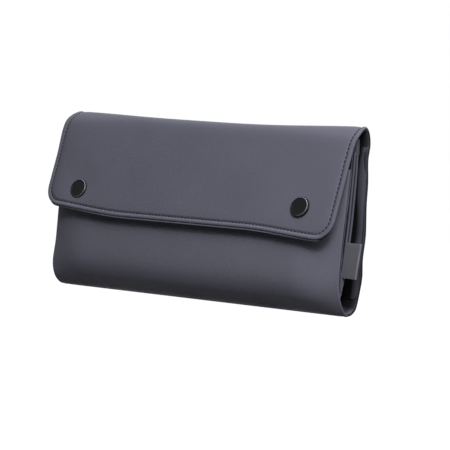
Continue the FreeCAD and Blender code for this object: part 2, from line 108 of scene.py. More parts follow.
class Shader:
    """A Principled material with short helpers for the nodes behind it."""

    def __init__(self, name, roughness, specular=0.5, metallic=0.0, sheen=0.0):
        self.material = bpy.data.materials.new(name)
        self.material.use_nodes = True
        self.tree = self.material.node_tree
        self.main = self.tree.nodes["Principled BSDF"]
        self.main.inputs["Roughness"].default_value = roughness
        self.main.inputs["Specular IOR Level"].default_value = specular
        self.main.inputs["Metallic"].default_value = metallic
        self.main.inputs["Sheen Weight"].default_value = sheen
        self.main.inputs["Sheen Roughness"].default_value = 0.5

    def node(self, kind, **inputs):
        node = self.tree.nodes.new(kind)
        for name, value in inputs.items():
            self.feed(node.inputs[name.replace("_", " ")], value)
        return node

    def feed(self, socket, value):
        """Links a node's output to the socket, or sets the socket to a plain value."""
        if isinstance(value, bpy.types.NodeSocket):
            self.tree.links.new(value, socket)
        else:
            socket.default_value = value

    def place(self, source, turn=0.0, scale=(1, 1, 1)):
        """Texture coordinates: "UV" is the cloth laid flat in metres, "Object" the frame itself."""
        where = self.node("ShaderNodeTexCoord").outputs[source]
        mapping = self.node("ShaderNodeMapping", Vector=where)
        mapping.inputs["Rotation"].default_value = (0, 0, turn)
        mapping.inputs["Scale"].default_value = scale
        return mapping.outputs[0]

    def stripes(self, where, pitch, distortion=0.0, axis="X"):
        """Soft bands this far apart, in metres."""
        scale = math.pi / 10 / pitch
        wave = self.node("ShaderNodeTexWave", Vector=where, Scale=scale, Distortion=distortion)
        wave.bands_direction = axis
        wave.inputs["Detail"].default_value = 1.0
        wave.inputs["Detail Scale"].default_value = 0.3
        return wave.outputs["Fac"]

    def noise(self, where, size, detail):
        """Clouds of about this size, in metres."""
        noise = self.node("ShaderNodeTexNoise", Vector=where, Scale=1 / size, Detail=detail)
        return noise.outputs["Fac"]

    def ramp(self, value, low, high, from_low=0.0, from_high=1.0):
        """low to high as the value goes from from_low to from_high, and no further."""
        node = self.node("ShaderNodeMapRange", Value=value)
        node.inputs["From Min"].default_value = from_low
        node.inputs["From Max"].default_value = from_high
        node.inputs["To Min"].default_value = low
        node.inputs["To Max"].default_value = high
        return node.outputs[0]

    def across(self, axis, start, end, source="UV"):
        """0 to 1 as the distance from the middle line goes from start to end, in mm."""
        parts = self.node("ShaderNodeSeparateXYZ", Vector=self.place(source))
        away = self.calc("ABSOLUTE", parts.outputs[axis], 0.0)
        return self.ramp(away, 0.0, 1.0, start * MM, end * MM)

    def vector(self, operation, first, second=(0, 0, 0)):
        """One vector calculation."""
        node = self.node("ShaderNodeVectorMath")
        node.operation = operation
        self.feed(node.inputs[0], first)
        self.feed(node.inputs[1], second)
        return node.outputs["Value" if operation == "LENGTH" else "Vector"]

    def from_cap_axis(self):
        """Distance in metres from the axis of the nearer snap cap, and how far a point lies toward
        the bright side of the cap's painted highlight.
        """
        parts = self.node("ShaderNodeSeparateXYZ", Vector=self.place("Object"))
        mirrored = self.node("ShaderNodeCombineXYZ", X=self.calc("ABSOLUTE", parts.outputs[0], 0.0))
        self.feed(mirrored.inputs[1], parts.outputs[1])
        self.feed(mirrored.inputs[2], parts.outputs[2])
        away = self.vector("SUBTRACT", mirrored.outputs[0], tuple(CAP_AT * MM))
        aside = self.node("ShaderNodeSeparateXYZ", Vector=away)
        right = self.calc("MULTIPLY", aside.outputs[0], self.calc("SIGN", parts.outputs[0], 0.0))
        right = self.calc("MULTIPLY", right, PAINTED_HIGHLIGHT_WAY[0])
        highlight_side = self.calc("ADD", right, self.calc("MULTIPLY", aside.outputs[2], PAINTED_HIGHLIGHT_WAY[1]))
        return self.vector("LENGTH", self.vector("CROSS_PRODUCT", away, CAP_WAY)), highlight_side

    def calc(self, operation, first, second):
        """One calculation with plain numbers."""
        node = self.node("ShaderNodeMath")
        node.operation = operation
        self.feed(node.inputs[0], first)
        self.feed(node.inputs[1], second)
        return node.outputs[0]

    def tint(self, base, factor):
        """The surface's colour, made lighter or darker by a factor that varies about 1."""
        node = self.node("ShaderNodeVectorMath")
        node.operation = "SCALE"
        node.inputs[0].default_value = base[:3]
        self.feed(node.inputs["Scale"], factor)
        self.feed(self.main.inputs["Base Color"], node.outputs[0])

    def relief(self, height, depth):
        """Fine relief this deep, in metres."""
        node = self.node("ShaderNodeBump", Height=height, Distance=depth, Strength=1.0)
        self.feed(self.main.inputs["Normal"], node.outputs[0])


def twill(name, base, roughness=0.56, ribs=0.0013, contrast=0.22, depth=0.00005, shades=()):
    """Matt coated twill: fine diagonal ribs, a finer cross thread and slow tone changes.

    shades are (axis, start, end, factor, source): the cloth's tone changes by the factor from
    start to end, in mm out from the middle line (X) or along the strip (Y).
    """
    cloth = Shader(name, roughness, specular=0.03, sheen=0.03)
    rib = cloth.stripes(cloth.place("UV", RIB_TURN), ribs, 0.6)
    thread = cloth.stripes(cloth.place("UV", THREAD_TURN), ribs * 0.45, 0.4)
    mostly_rib = cloth.calc("MULTIPLY", rib, 0.75)
    weave = cloth.calc("ADD", mostly_rib, cloth.calc("MULTIPLY", thread, 0.25))
    tone = cloth.noise(cloth.place("UV"), 0.035, 3)
    speck = cloth.noise(cloth.place("UV"), 0.0009, 1)
    cloud = cloth.noise(cloth.place("UV", 0.6, (1, 1.6, 1)), 0.04, 2)
    patch = cloth.ramp(cloud, 0.12, 1.0, 0.42, 0.62)
    ribs_seen = cloth.calc("MULTIPLY", cloth.ramp(weave, -contrast, contrast), patch)
    factor = cloth.calc("ADD", ribs_seen, cloth.ramp(tone, 0.96, 1.04, *NOISE))
    factor = cloth.calc("ADD", factor, cloth.ramp(speck, -0.03, 0.03, *NOISE))
    for axis, start, end, share, *source in shades:
        shade = cloth.ramp(cloth.across(axis, start, end, *source), 1.0, share)
        factor = cloth.calc("MULTIPLY", factor, shade)
    cloth.tint(base, factor)
    cloth.relief(weave, depth)
    dullness = cloth.ramp(tone, roughness - 0.05, roughness + 0.05, *NOISE)
    cloth.feed(cloth.main.inputs["Roughness"], dullness)
    return cloth.material


def ribbed_elastic():
    """Knitted elastic with ribs across it and fine lines along it."""
    band = Shader("ribbed_elastic", 0.65, specular=0.3, sheen=0.2)
    rib = band.stripes(band.place("Object"), 0.0011, 0.3, "X")
    line = band.stripes(band.place("Object"), 0.0020, 0.0, "Z")
    factor = band.calc("ADD", band.ramp(rib, 0.78, 1.1), band.ramp(line, -0.06, 0.06))
    band.tint(colour(38, 38, 42), factor)
    band.relief(rib, 0.00015)
    return band.material


def painted_metal():
    """Black enamel on the snap caps, with a fine orange peel, faint rub marks and a painted
    highlight: a bright ring, brightest on its upper right.
    """
    cap = Shader("black_enamel", 0.34, specular=0.09)
    peel = cap.noise(cap.place("Object"), 0.0012, 2)
    rub = cap.noise(cap.place("Object"), 0.004, 4)
    away, highlight_side = cap.from_cap_axis()
    # painted highlight: a thin bright ring on the bevel, fading towards the lower left
    ring = cap.calc("MULTIPLY", cap.ramp(away, 0, 1, *PAINTED_RING_RADII[:2]), cap.ramp(away, 1, 0, *PAINTED_RING_RADII[2:]))
    ring = cap.calc("MULTIPLY", ring, cap.ramp(highlight_side, *PAINTED_HIGHLIGHT_LEVELS, *PAINTED_HIGHLIGHT_REACH))
    cap.tint(colour(18, 18, 21), cap.calc("ADD", cap.ramp(rub, 0.9, 1.12, *NOISE), ring))
    cap.feed(cap.main.inputs["Roughness"], cap.ramp(rub, 0.34, 0.46, *NOISE))
    cap.relief(peel, 0.00002)
    return cap.material


def brushed_metal(name, base, roughness):
    """Metal with a fine grain along the pouch."""
    metal = Shader(name, roughness, metallic=1.0)
    grain = metal.noise(metal.place("Object", 0, (1, 8, 8)), 0.002, 4)
    metal.tint(base, metal.ramp(grain, 0.85, 1.1, *NOISE))
    dullness = metal.ramp(grain, roughness - 0.06, roughness + 0.08, *NOISE)
    metal.feed(metal.main.inputs["Roughness"], dullness)
    metal.relief(grain, 0.00001)
    return metal.material


WEAVE = {"ribs": 0.0007, "contrast": 0.05, "depth": 0.00003}  # a plain weave in place of twill
# painted light: one coated twill is drawn in three tones, lightest here on the front panel, darker
# on the back and darkest on the flap, to stand in for how brightly each is lit
LIT_FRONT_TWILL = twill("coated_twill", colour(93, 93, 105))
# painted shade: the back panel's cloth is drawn dark on its rims at the pouch's two ends, which lie
# in shadow
BACK = twill("coated_twill_back", colour(88, 88, 100), shades=[("X", HALF - 1.2, HALF - 0.5, 0.2)])
# painted shade: cloth inside the pouch is drawn dark a little way in from the open ends, where it
# lies in shadow, and lighter again further in; near the bottom fold (Y) it is drawn lighter, as
# painted light on the patch that shows lit there
PLAIN = {"name": "lining_weave", "base": colour(46, 46, 53), "roughness": 0.6, **WEAVE}
LINING = twill(
    **PLAIN,
    shades=[("X", HALF - 1.0, HALF - 4, 0.25), ("X", HALF - 20, HALF - 45, 4.0), ("Y", 10, 6, 4.0)],
)
POCKET = twill("pocket_weave", colour(80, 80, 92), 0.55, **WEAVE)
# painted shade: the gusset cloth is drawn dark deeper than 1.35 mm in from the pouch's end, in the
# tucks of its folds where shadow falls
GUSSET = twill(
    "gusset_weave", colour(84, 84, 96), 0.55, **WEAVE,
    shades=[("X", HALF - 0.6, HALF - 1.35, 0.12, "Object")],
)
TAPE = twill("binding_weave", colour(76, 76, 86), 0.6, ribs=0.0009, contrast=0.1, depth=0.00006)
THREAD = twill("sewing_thread", colour(44, 44, 53), 0.6, ribs=0.0004, contrast=0.15, depth=0.00004)
ELASTIC = ribbed_elastic()
CAP = painted_metal()
METAL = brushed_metal("snap_nickel", colour(120, 121, 126), 0.35)
SPRING = brushed_metal("spring_wire", colour(168, 166, 160), 0.28)

# ---------------------------------------------------------------- shapes of the outer strip

THICK = 2.0  # outer cloth and foam together, in mm like all that follows
SEAM = 3.6  # stitch line in from a side edge
FOOT_SEAM = 2.7  # and in from the flap's free edge
ROLL = 3.0  # how far the left end rolls back
ROLL_REACH = 24  # and over what width
CALM = 14  # waves fade out this near to an edge
SHARP = 58  # degrees: bends over this stay sharp when a mesh is shaded
PER_SPAN = 40  # points on a profile between two of its control points
OUTER_EVEN = 45  # the outer strip keeps its middle profile this far out
FRONT_EVEN = 80  # and the front panel this far


def curve_through(points, count):
    """A smooth line through the points, and the length along it at each of its positions."""
    p = np.array(points, float)
    ends = np.vstack([2 * p[0] - p[1], p, 2 * p[-1] - p[-2]])
    k = np.linspace(0, len(p) - 1 - 1e-9, count)
    i = k.astype(int)
    t = (k - i)[:, None]
    a, b, c, d = ends[i], ends[i + 1], ends[i + 2], ends[i + 3]
    bend, twist = 2 * a - 5 * b + 4 * c - d, 3 * b - a - 3 * c + d
    q = 0.5 * (2 * b + (c - a) * t + bend * t**2 + twist * t**3)
    length = np.concatenate([[0], np.cumsum(np.linalg.norm(np.diff(q, axis=0), axis=1))])
    return q, length


def end_share(x, inner, outer):
    """0 up to inner, 1 from outer on, on both sides of the pouch's middle."""
    return float(smooth(inner, outer, abs(x)))


def mixed(first, second, share):
    return np.array(first, float) * (1 - share) + np.array(second, float) * share


# the strip's outer line in the YZ plane: from under the pouch up its back and over the top, then
# from there down the flap. Each point is one control point, the same one in all three lines.
OUTER_MIDDLE = [
    (0, 0), (4.6, 0.2), (8.8, 2.6), (11.0, 7.5), (12, 15), (12.1, 23), (12.1, 33), (12.1, 47),
    (12, 64), (12, 78), (12, 90), (11.6, 98.5), (9.6, 105), (6.0, 108.4),
    (2.2, 109.0), (-2.6, 107.6), (-6.6, 102.8), (-10.4, 91.5), (-15.5, 75), (-20.4, 59.8),
    (-24.8, 46.2),
]
OUTER_LEFT = [
    (0, 0), (4.6, 0.2), (8.8, 2.6), (11.0, 7.5), (12, 15), (12.2, 23), (12.4, 33), (12.2, 47),
    (11.8, 64), (11.6, 78), (11.6, 90), (11.2, 98.5), (9.4, 104.6), (6.0, 108.3),
    (2.2, 109.0), (-3.9, 106.5), (-9.9, 101.4), (-14.6, 91.5), (-19.1, 76.4), (-23.4, 61.4),
    (-26.3, 50.5),
]
OUTER_RIGHT = [
    (0, 0), (4.0, 0.7), (7.6, 3.0), (9.6, 7.0), (11.4, 14.5), (12.8, 23), (11.9, 33), (13.1, 47),
    (11.6, 64), (11.4, 77), (9.8, 90), (10.8, 99.0), (9.6, 105), (7.2, 108.6),
    (4.2, 109.4), (-0.9, 106.5), (-6.4, 101.1), (-10.3, 91.2), (-15.0, 75.5), (-20.3, 59.0),
    (-25.5, 42.9),
]
SEAM_AT = 13  # the control point at which the back ends and the flap starts

# the front panel's outer line, from under the pouch up to the pocket's mouth
FRONT_MIDDLE = [
    (0, 0), (-4.9, 1.6), (-9.9, 4.8), (-15.1, 9.1), (-18.7, 15.2), (-19.7, 22.5), (-18.6, 33),
    (-15.7, 46), (-12.8, 59), (-11.0, 72), (-7.6, 84),
]
FRONT_LEFT = [
    (0, 0), (-4.3, 0.7), (-8.9, 4.0), (-12.2, 9.5), (-14.0, 16.5), (-14.2, 28), (-14.0, 38),
    (-13.8, 48), (-13.2, 59), (-11.4, 72), (-10.7, 84),
]
FRONT_RIGHT = [
    (0, 0), (-2.8, 1.0), (-6.4, 4.8), (-9.8, 10.6), (-11.9, 18.5), (-12.1, 28), (-11.7, 38),
    (-11.2, 48), (-10.4, 59), (-9.5, 72), (-8.8, 84),
]


def outer_profile(x):
    """The outer strip's control points at this x, and the side of the line that is its outside."""
    share = end_share(x, OUTER_EVEN, FLAP_HALF)
    return mixed(OUTER_MIDDLE, OUTER_LEFT if x < 0 else OUTER_RIGHT, share), 1


def front_profile(x):
    """The same for the front panel."""
    share = end_share(x, FRONT_EVEN, HALF + 2)
    return mixed(FRONT_MIDDLE, FRONT_LEFT if x < 0 else FRONT_RIGHT, share), -1


def top_sag(x, z):
    """The top fold sinks a little between the pouch's ends, most of all right of the middle."""
    depth = 1.9 * bump(26, 62, x) + 0.9 * bump(-45, 45, x) + 0.3
    return -depth * smooth(78, 108, z)


def soft_waves(x, s, seed):
    """Slow shallow waves in a padded cloth, between -1 and 1."""
    rng = np.random.default_rng(seed)
    total = 0 * (x + s)
    waves = 7
    for _ in range(waves):
        fx, fs = rng.uniform(0.02, 0.09), rng.uniform(0.02, 0.11)
        total = total + np.sin(fx * x + fs * s * rng.choice([-1, 1]) + rng.uniform(0, 6.28))
    return total / waves


def inside_corner(side, foot, radius):
    """Distance in from an edge that turns a corner of this radius between its side and its foot."""
    round_part = radius - np.hypot(np.maximum(radius - side, 0), np.maximum(radius - foot, 0))
    straight = np.maximum(np.minimum(side, foot), 0)
    return np.where((side < radius) & (foot < radius), round_part, straight)


class Strip:
    """A padded strip's outer face: x across, s along its profile, both in millimetres.

    It runs from the profile's control point first to its control point last.
    """

    def __init__(self, profile, wide, seed, first=0, last=None, waves=0.35, down=1, roll=0.0):
        self.profile, self.wide, self.seed, self.waves = profile, wide, seed, waves
        self.down = down  # -1 where the profile is drawn from the foot up, as the front panel's is
        self.roll = roll
        self.first, self.last = first, last
        self.dents = []  # (x, s, depth, reach)
        self.closed_end = None  # s of the free edge, where there is one
        self.corners = (0.0, 0.0)  # and its corner radii, left and right
        self.narrow = 0.0  # share of the width that is missing at s = 0
        self.lines = {}

    def corner(self, x):
        """The free edge's corner radius on this side."""
        return np.where(np.asarray(x) < 0, *self.corners)

    def line(self, x):
        """The profile's points at this x, with their normals and lengths along it."""
        key = round(float(x), 4)
        if key not in self.lines:
            controls, turn = self.profile(x)
            q = curve_through(controls, PER_SPAN * (len(controls) - 1) + 1)[0]
            q[:, 1] += top_sag(x, q[:, 1])
            tangent = np.gradient(q, axis=0)
            tangent /= np.linalg.norm(tangent, axis=1)[:, None]
            normal = np.stack([tangent[:, 1], -tangent[:, 0]], 1) * turn
            last = None if self.last is None else PER_SPAN * self.last + 1
            part = slice(PER_SPAN * self.first, last)
            q, normal = q[part], normal[part]
            steps = np.linalg.norm(np.diff(q, axis=0), axis=1)
            self.lines[key] = (q, normal, np.concatenate([[0], np.cumsum(steps)]))
        return self.lines[key]

    def length(self):
        return self.line(0)[2][-1]

    def at_height(self, x, z, way=1):
        """How far along its profile the strip reaches this height; way is -1 where it runs down."""
        q, _, length = self.line(x)
        return float(np.interp(way * z, way * q[:, 1], length))

    def edge(self, x, s):
        """Distance in from the strip's sewn edge."""
        side = self.wide - np.abs(x)
        if self.closed_end is None:
            return side
        return inside_corner(side, self.closed_end - s, self.corner(x))

    def at(self, x, share, depth):
        """The point this far under the outer face, and the face's normal there."""
        q, normal, length = self.line(x)
        s = share * length[-1]
        y, z = np.interp(s, length, q[:, 0]), np.interp(s, length, q[:, 1])
        ny, nz = np.interp(s, length, normal[:, 0]), np.interp(s, length, normal[:, 1])
        past = np.maximum(s - length[-1], 0) * self.down
        y, z = y - past * nz, z + past * ny
        flat_s = share * self.length()
        calm = smooth(0, CALM, self.edge(x, flat_s)) * smooth(0, CALM, flat_s)
        calm = calm * smooth(0, CALM, self.length() - flat_s)
        lift = self.waves * soft_waves(x, flat_s, self.seed) * calm - depth
        rolled = np.clip((-x - self.wide + ROLL_REACH) / ROLL_REACH, 0, 1) ** 3
        lift = lift - self.roll * rolled * smooth(12, 40, flat_s)
        for dent_x, dent_s, depth_there, reach in self.dents:
            away = (x - dent_x) ** 2 + (flat_s - dent_s) ** 2
            lift = lift - depth_there * np.exp(-away / reach**2)
        across = x * (1 - self.narrow * (1 - smooth(0, CALM, flat_s)))
        point = np.stack([0 * y + across, y + ny * lift, z + nz * lift], -1)
        return point, np.stack([0 * ny, ny, nz], -1)


def edge_relief(d, seam):
    """How cloth stands out this far in from its edge: rolled rim, stitch groove, padding."""
    puff = 0.25
    if seam is None:
        return puff * smooth(0.5, 7, d)
    rim, groove = 0.4 * bump(seam * 0.45, 0.9, d), 0.85 * bump(seam, 0.6, d)
    return rim - groove + puff * smooth(seam, seam + 5, d)


def columns(wide):
    """Positions across a strip, close together at its edges and 4 mm apart between them."""
    step = 4.0
    near = np.array([0, 0.12, 0.4, 0.8, 1.3, 1.9, 2.5, 3.0, 3.4, 3.8, 4.3, 5.0, 6.2, 8.0, 10.5])
    inner = wide - near[-1]
    count = int(round(inner * 2 / step))
    between = np.linspace(-inner, inner, count + 1)[1:-1]
    return np.concatenate([-wide + near, between, (wide - near)[::-1]])


def make_object(name, vertices, faces, material, uv):
    """A smooth mesh object from points in millimetres."""
    mesh = bpy.data.meshes.new(name)
    mesh.from_pydata((np.array(vertices) * MM).tolist(), [], faces)
    layer = mesh.uv_layers.new(name="UVMap")
    corners = np.zeros(len(mesh.loops), int)
    mesh.loops.foreach_get("vertex_index", corners)
    layer.data.foreach_set("uv", (np.array(uv)[corners] * MM).ravel())
    mesh.polygons.foreach_set("use_smooth", [True] * len(mesh.polygons))
    mesh.materials.append(material)
    piece = bpy.data.objects.new(name, mesh)
    bpy.context.collection.objects.link(piece)
    return piece


def weld(piece):
    """Joins points that meet, turns all faces outwards and keeps bends over SHARP degrees sharp."""
    edit = bmesh.new()
    edit.from_mesh(piece.data)
    bmesh.ops.remove_doubles(edit, verts=edit.verts, dist=2e-6)
    bmesh.ops.recalc_face_normals(edit, faces=edit.faces)
    edit.to_mesh(piece.data)
    edit.free()
    piece.data.set_sharp_from_angle(angle=math.radians(SHARP))
    return piece


def closed_sheet(name, outer, inner, flat, material):
    """A closed sheet from its two faces' grids, [row, column, xyz]; flat is the cloth laid out."""
    rows, cols = outer.shape[:2]
    index = np.arange(rows * cols).reshape(rows, cols)
    other = index + rows * cols
    faces = []
    for grid, flip in ((index, False), (other, True)):
        quad = np.stack([grid[:-1, :-1], grid[:-1, 1:], grid[1:, 1:], grid[1:, :-1]], -1)
        quad = quad.reshape(-1, 4)
        faces += (quad[:, ::-1] if flip else quad).tolist()
    ring = np.concatenate([index[0], index[1:, -1], index[-1, -2::-1], index[-2:0:-1, 0]])
    mate = ring + rows * cols
    for k in range(len(ring)):
        n = (k + 1) % len(ring)
        faces.append([int(ring[n]), int(ring[k]), int(mate[k]), int(mate[n])])
    vertices = np.concatenate([outer.reshape(-1, 3), inner.reshape(-1, 3)])
    uv = np.concatenate([flat.reshape(-1, 2)] * 2)
    return weld(make_object(name, vertices, faces, material, uv))


def taper(d):
    """How much of its thickness the padding keeps this far in from a sewn edge."""
    return 0.6 + 0.4 * smooth(0.8, 9, d)


def rounded_column(strip, x0, s, wide, end, inset):
    """A column that turns in at a rounded corner: its x, distances in and nearness to the foot."""
    corner = float(strip.corner(x0)) - inset
    rise = np.clip(s - (end - corner), 0, corner)
    x = x0 * (wide - corner + np.sqrt(corner**2 - rise**2)) / wide
    side, low = wide - np.abs(x), end - s
    d = np.maximum(inside_corner(side, low, corner), 0)
    return x, d, side / np.maximum(side + low, 1e-6)


def strip_piece(
    name, strip, shares, material,
    depth=0.0, thick=THICK, inset=0.0, seam=SEAM, padded=True, foot=0.0,
):
    """One layer of a strip, this thick and this deep under its outer face, with rolled edges.

    inset keeps it in from the strip's sides, and foot lets it past the free edge.
    """
    wide = strip.wide - inset
    xs = columns(wide)
    rows, cols = len(shares), len(xs)
    outer, inner, flat = (np.zeros((rows, cols, n)) for n in (3, 3, 2))
    length = strip.length()
    end = None if strip.closed_end is None else strip.closed_end - inset + foot
    s = shares * length if end is None else shares * end
    for j, x0 in enumerate(xs):
        x = np.full(rows, x0)
        d, seam_here = wide - np.abs(x), seam
        if end is not None:
            x, d, near_foot = rounded_column(strip, x0, s, wide, end, inset)
            seam_here = seam + (FOOT_SEAM - seam) * near_foot
        keep = taper(d + inset) if padded or depth else 1.0
        full = thick * keep if padded else thick + 0 * d
        under = depth * keep
        # the two faces part from one line at the edge, as a round rim, and run level further in
        r = full / 2
        rim = thick * (taper(0) if padded else 1.0) / 2
        opening = r * np.sqrt(1 - (1 - np.minimum(d, rim) / rim) ** 2)
        lift = edge_relief(d, seam_here) * opening / r if padded else 0.0
        for i0, i1 in runs_of_equal(x):
            part = slice(i0, i1)
            share = s[part] / length
            level = np.broadcast_to(lift, s.shape)[part]
            outer[part, j] = strip.at(x[i0], share, (under + r - opening)[part] - level)[0]
            inner[part, j] = strip.at(x[i0], share, (under + r + opening)[part])[0]
        flat[:, j, 0], flat[:, j, 1] = x, s * strip.down
    return closed_sheet(name, outer, inner, flat, material)


def runs_of_equal(values):
    """(start, end) of each run of equal values."""
    cuts = [0, *(np.flatnonzero(np.diff(values)) + 1).tolist(), len(values)]
    return list(zip(cuts[:-1], cuts[1:]))


def shares_of(strip, stops):
    """Row positions as shares of the strip's length, from (end, step) in mm; None is its end."""
    length = strip.length()
    at, out = 0.0, [0.0]
    for end, step in stops:
        end = length if end is None else end
        count = max(1, int(round((end - at) / step)))
        out += list(np.linspace(at, end, count + 1)[1:])
        at = end
    return np.array(out) / length


# ---------------------------------------------------------------- outer strip pieces

back_strip = Strip(outer_profile, HALF, 3, 0, SEAM_AT)
flap_strip = Strip(outer_profile, FLAP_HALF, 5, SEAM_AT, roll=ROLL)
front_strip = Strip(front_profile, HALF, 11, down=-1, roll=ROLL)
flap_strip.closed_end = flap_strip.length()
flap_strip.corners = (12.5, 12.0)
flap_strip.narrow = (FLAP_HALF - HALF) / FLAP_HALF
# each snap pulls the flap in, and the front panel stands up round its stud
cap_s = flap_strip.at_height(CAP_X, CAP_AT[2], -1)
flap_strip.dents = [(-CAP_X, cap_s, 2.0, 13.0), (CAP_X, cap_s, 0.25, 12.0)]
stud_s = front_strip.at_height(CAP_X, middle("snap_stud_left")[2])
front_strip.dents = [(side * CAP_X, stud_s, -2.7, 11.0) for side in (-1, 1)]

back_rows = shares_of(back_strip, [(22, 1.4), (92, 4.0), (107, 1.5), (None, 0.6)])
flap_rows = shares_of(
    flap_strip, [(3, 0.5), (20, 1.2), (56, 4.0), (64, 2.0), (67.5, 1.0), (71.5, 0.4), (None, 0.15)]
)
front_rows = shares_of(front_strip, [(20, 1.2), (80, 3.5), (None, 0.8)])

# painted light: the flap's lower rim is drawn a little lighter and the lining's edge that shows
# under it much lighter, as painted highlights; the flap lining is also drawn dark near the open
# ends as painted shade and lighter again further in, and the flap's twill is drawn darker than the
# front panel's
flap_s = flap_strip.closed_end
FLAP_LINING = twill(
    **PLAIN,
    shades=[
        ("X", HALF - 1.0, HALF - 4, 0.5),
        ("X", HALF - 18, HALF - 40, 2.2),
        ("Y", flap_s - 0.3, flap_s + 0.1, 6),
    ],
)
FLAP = twill(
    "coated_twill_flap", colour(86, 86, 98),
    shades=[("Y", flap_s - 2.6, flap_s - 2.2, 1.3)],
)
back_cover = strip_piece("back_cover", back_strip, back_rows, BACK)
back_lining = strip_piece(
    "back_lining_cloth", back_strip, back_rows, LINING,
    depth=THICK, thick=0.5, inset=0.9, padded=False,
)
flap_cover = strip_piece("flap_cover", flap_strip, flap_rows, FLAP)
flap_lining = strip_piece(
    "flap_lining_cloth", flap_strip, flap_rows, FLAP_LINING,
    depth=THICK + 0.2, thick=0.6, inset=0.7, padded=False, foot=1.5,
)
front_cover = strip_piece("front_cover", front_strip, front_rows, LIT_FRONT_TWILL, seam=None)
front_lining = strip_piece(
    "front_lining_cloth", front_strip, front_rows, LINING,
    depth=THICK, thick=0.5, inset=0.9, padded=False,
)

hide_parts("back_shell", "back_padding", "bottom_shell", "bottom_padding")
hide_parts("back_lining", "bottom_lining")
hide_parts("flap_shell", "flap_padding", "top_fold_shell", "top_fold_padding")
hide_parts("flap_lining", "top_fold_lining")
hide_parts("front_shell", "front_padding")
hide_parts("front_lining")

# ---------------------------------------------------------------- inner pieces

LEAF_GAP = 0.5  # from the leaf's line to its front face
LINING_GAP = 0.9  # room for the lining between the padding and a gusset
# their lines in the YZ plane, from the foot up
LEAF_LINE = [
    (-8.5, 10), (-6.9, 15), (-4.9, 24), (-2.6, 40),
    (-1.1, 56), (-0.5, 76), (-0.6, 90), (-1.5, 101.5),
]
POCKET_LINE = [
    (9.3, 10), (9.2, 22), (9.1, 34), (9.1, 46),
    (9.1, 58), (9.1, 70), (9.1, 84), (9.0, 98),
]


def leaf_profile(x):
    """The divider leaf has the same line all along the pouch."""
    return np.array(LEAF_LINE, float), 1


def pocket_profile(x):
    """The pocket on the back panel, loose near the pouch's ends."""
    points = np.array(POCKET_LINE, float)
    near = smooth(70, 104, abs(x)) * (1 - smooth(104, HALF - 0.8, abs(x)))
    z = points[:, 1]
    slack = 3.4 * bump(78, 17, z) + 2.8 * bump(36, 8, z)
    slack = slack + 2.2 * bump(14, 8, z) - 0.8 * bump(50, 6, z)
    points[:, 0] -= near * slack
    return points, -1


leaf_strip = Strip(leaf_profile, HALF, 21, waves=0.3)
pocket_strip = Strip(pocket_profile, HALF - 0.6, 33, waves=0.5)
leaf_rows = shares_of(leaf_strip, [(90, 3.0), (None, 1.0)])
pocket_rows = shares_of(pocket_strip, [(2, 0.5), (80, 3.0), (None, 1.0)])
pocket_s = pocket_strip.length()
# painted shade: the back pocket's cloth is drawn darker than the leaf's, and darker still a little
# way in from the open ends, lighter again further in; its hem band (Y) is drawn lighter as a
# painted highlight
BACK_POCKET_PAINTED_SHADE = twill(
    "inner_pocket_weave", colour(66, 66, 75), 0.6, **WEAVE,
    shades=[
        ("X", HALF - 1.5, HALF - 4.6, 0.1),
        ("X", HALF - 20, HALF - 45, 8),
        ("Y", pocket_s - 3.4, pocket_s - 3.0, 1.25),
    ],
)
leaf = strip_piece(
    "divider_leaf_cloth", leaf_strip, leaf_rows, POCKET,
    depth=-LEAF_GAP, thick=1.0, inset=0.3, padded=False,
)
pocket = strip_piece(
    "back_pocket_cloth", pocket_strip, pocket_rows, BACK_POCKET_PAINTED_SHADE,
    depth=0, thick=0.7, inset=0.0, padded=False,
)
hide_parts("divider_leaf")
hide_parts("back_pocket")


def tape_over(name, strip, width, gap, thick, material, wide):
    """A binding tape folded over a strip's top edge, this wide on either face."""
    xs = columns(wide)
    length = strip.length()
    foot = length - width
    over = 3  # how much of the tape lies on the edge itself
    run = np.linspace(foot, length, 6)
    turn = np.linspace(0, math.pi, 7)[1:-1]
    rows = [("rear", s) for s in run] + [("turn", a) for a in turn]
    rows += [("front", s) for s in run[::-1]]
    outer, inner, flat = [], [], []
    for kind, at in rows:
        row_out, row_in, row_flat = [], [], []
        for x in xs:
            d = wide - abs(x)
            stand = gap + thick * min(1.0, 0.3 + d)
            s = min(at, length) if kind != "turn" else length
            p, n = strip.at(x, np.array(s / length), 0.0)
            up = np.array([0, -n[2], n[1]])
            if kind == "rear":
                far, near = p + n * stand, p + n * gap
                v = s - foot
            elif kind == "front":
                far, near = p - n * stand, p - n * gap
                v = width * 2 + over - (s - foot)
            else:
                way = n * math.cos(at) + up * math.sin(at)
                far, near = p + way * stand, p + way * gap
                v = width + over * at / math.pi
            row_out.append(far)
            row_in.append(near)
            row_flat.append((x, v))
        outer.append(row_out)
        inner.append(row_in)
        flat.append(row_flat)
    return closed_sheet(name, np.array(outer), np.array(inner), np.array(flat), material)


binding = tape_over("leaf_binding_tape", leaf_strip, 8.0, 0.55, 0.4, TAPE, HALF - 0.2)
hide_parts("leaf_binding")


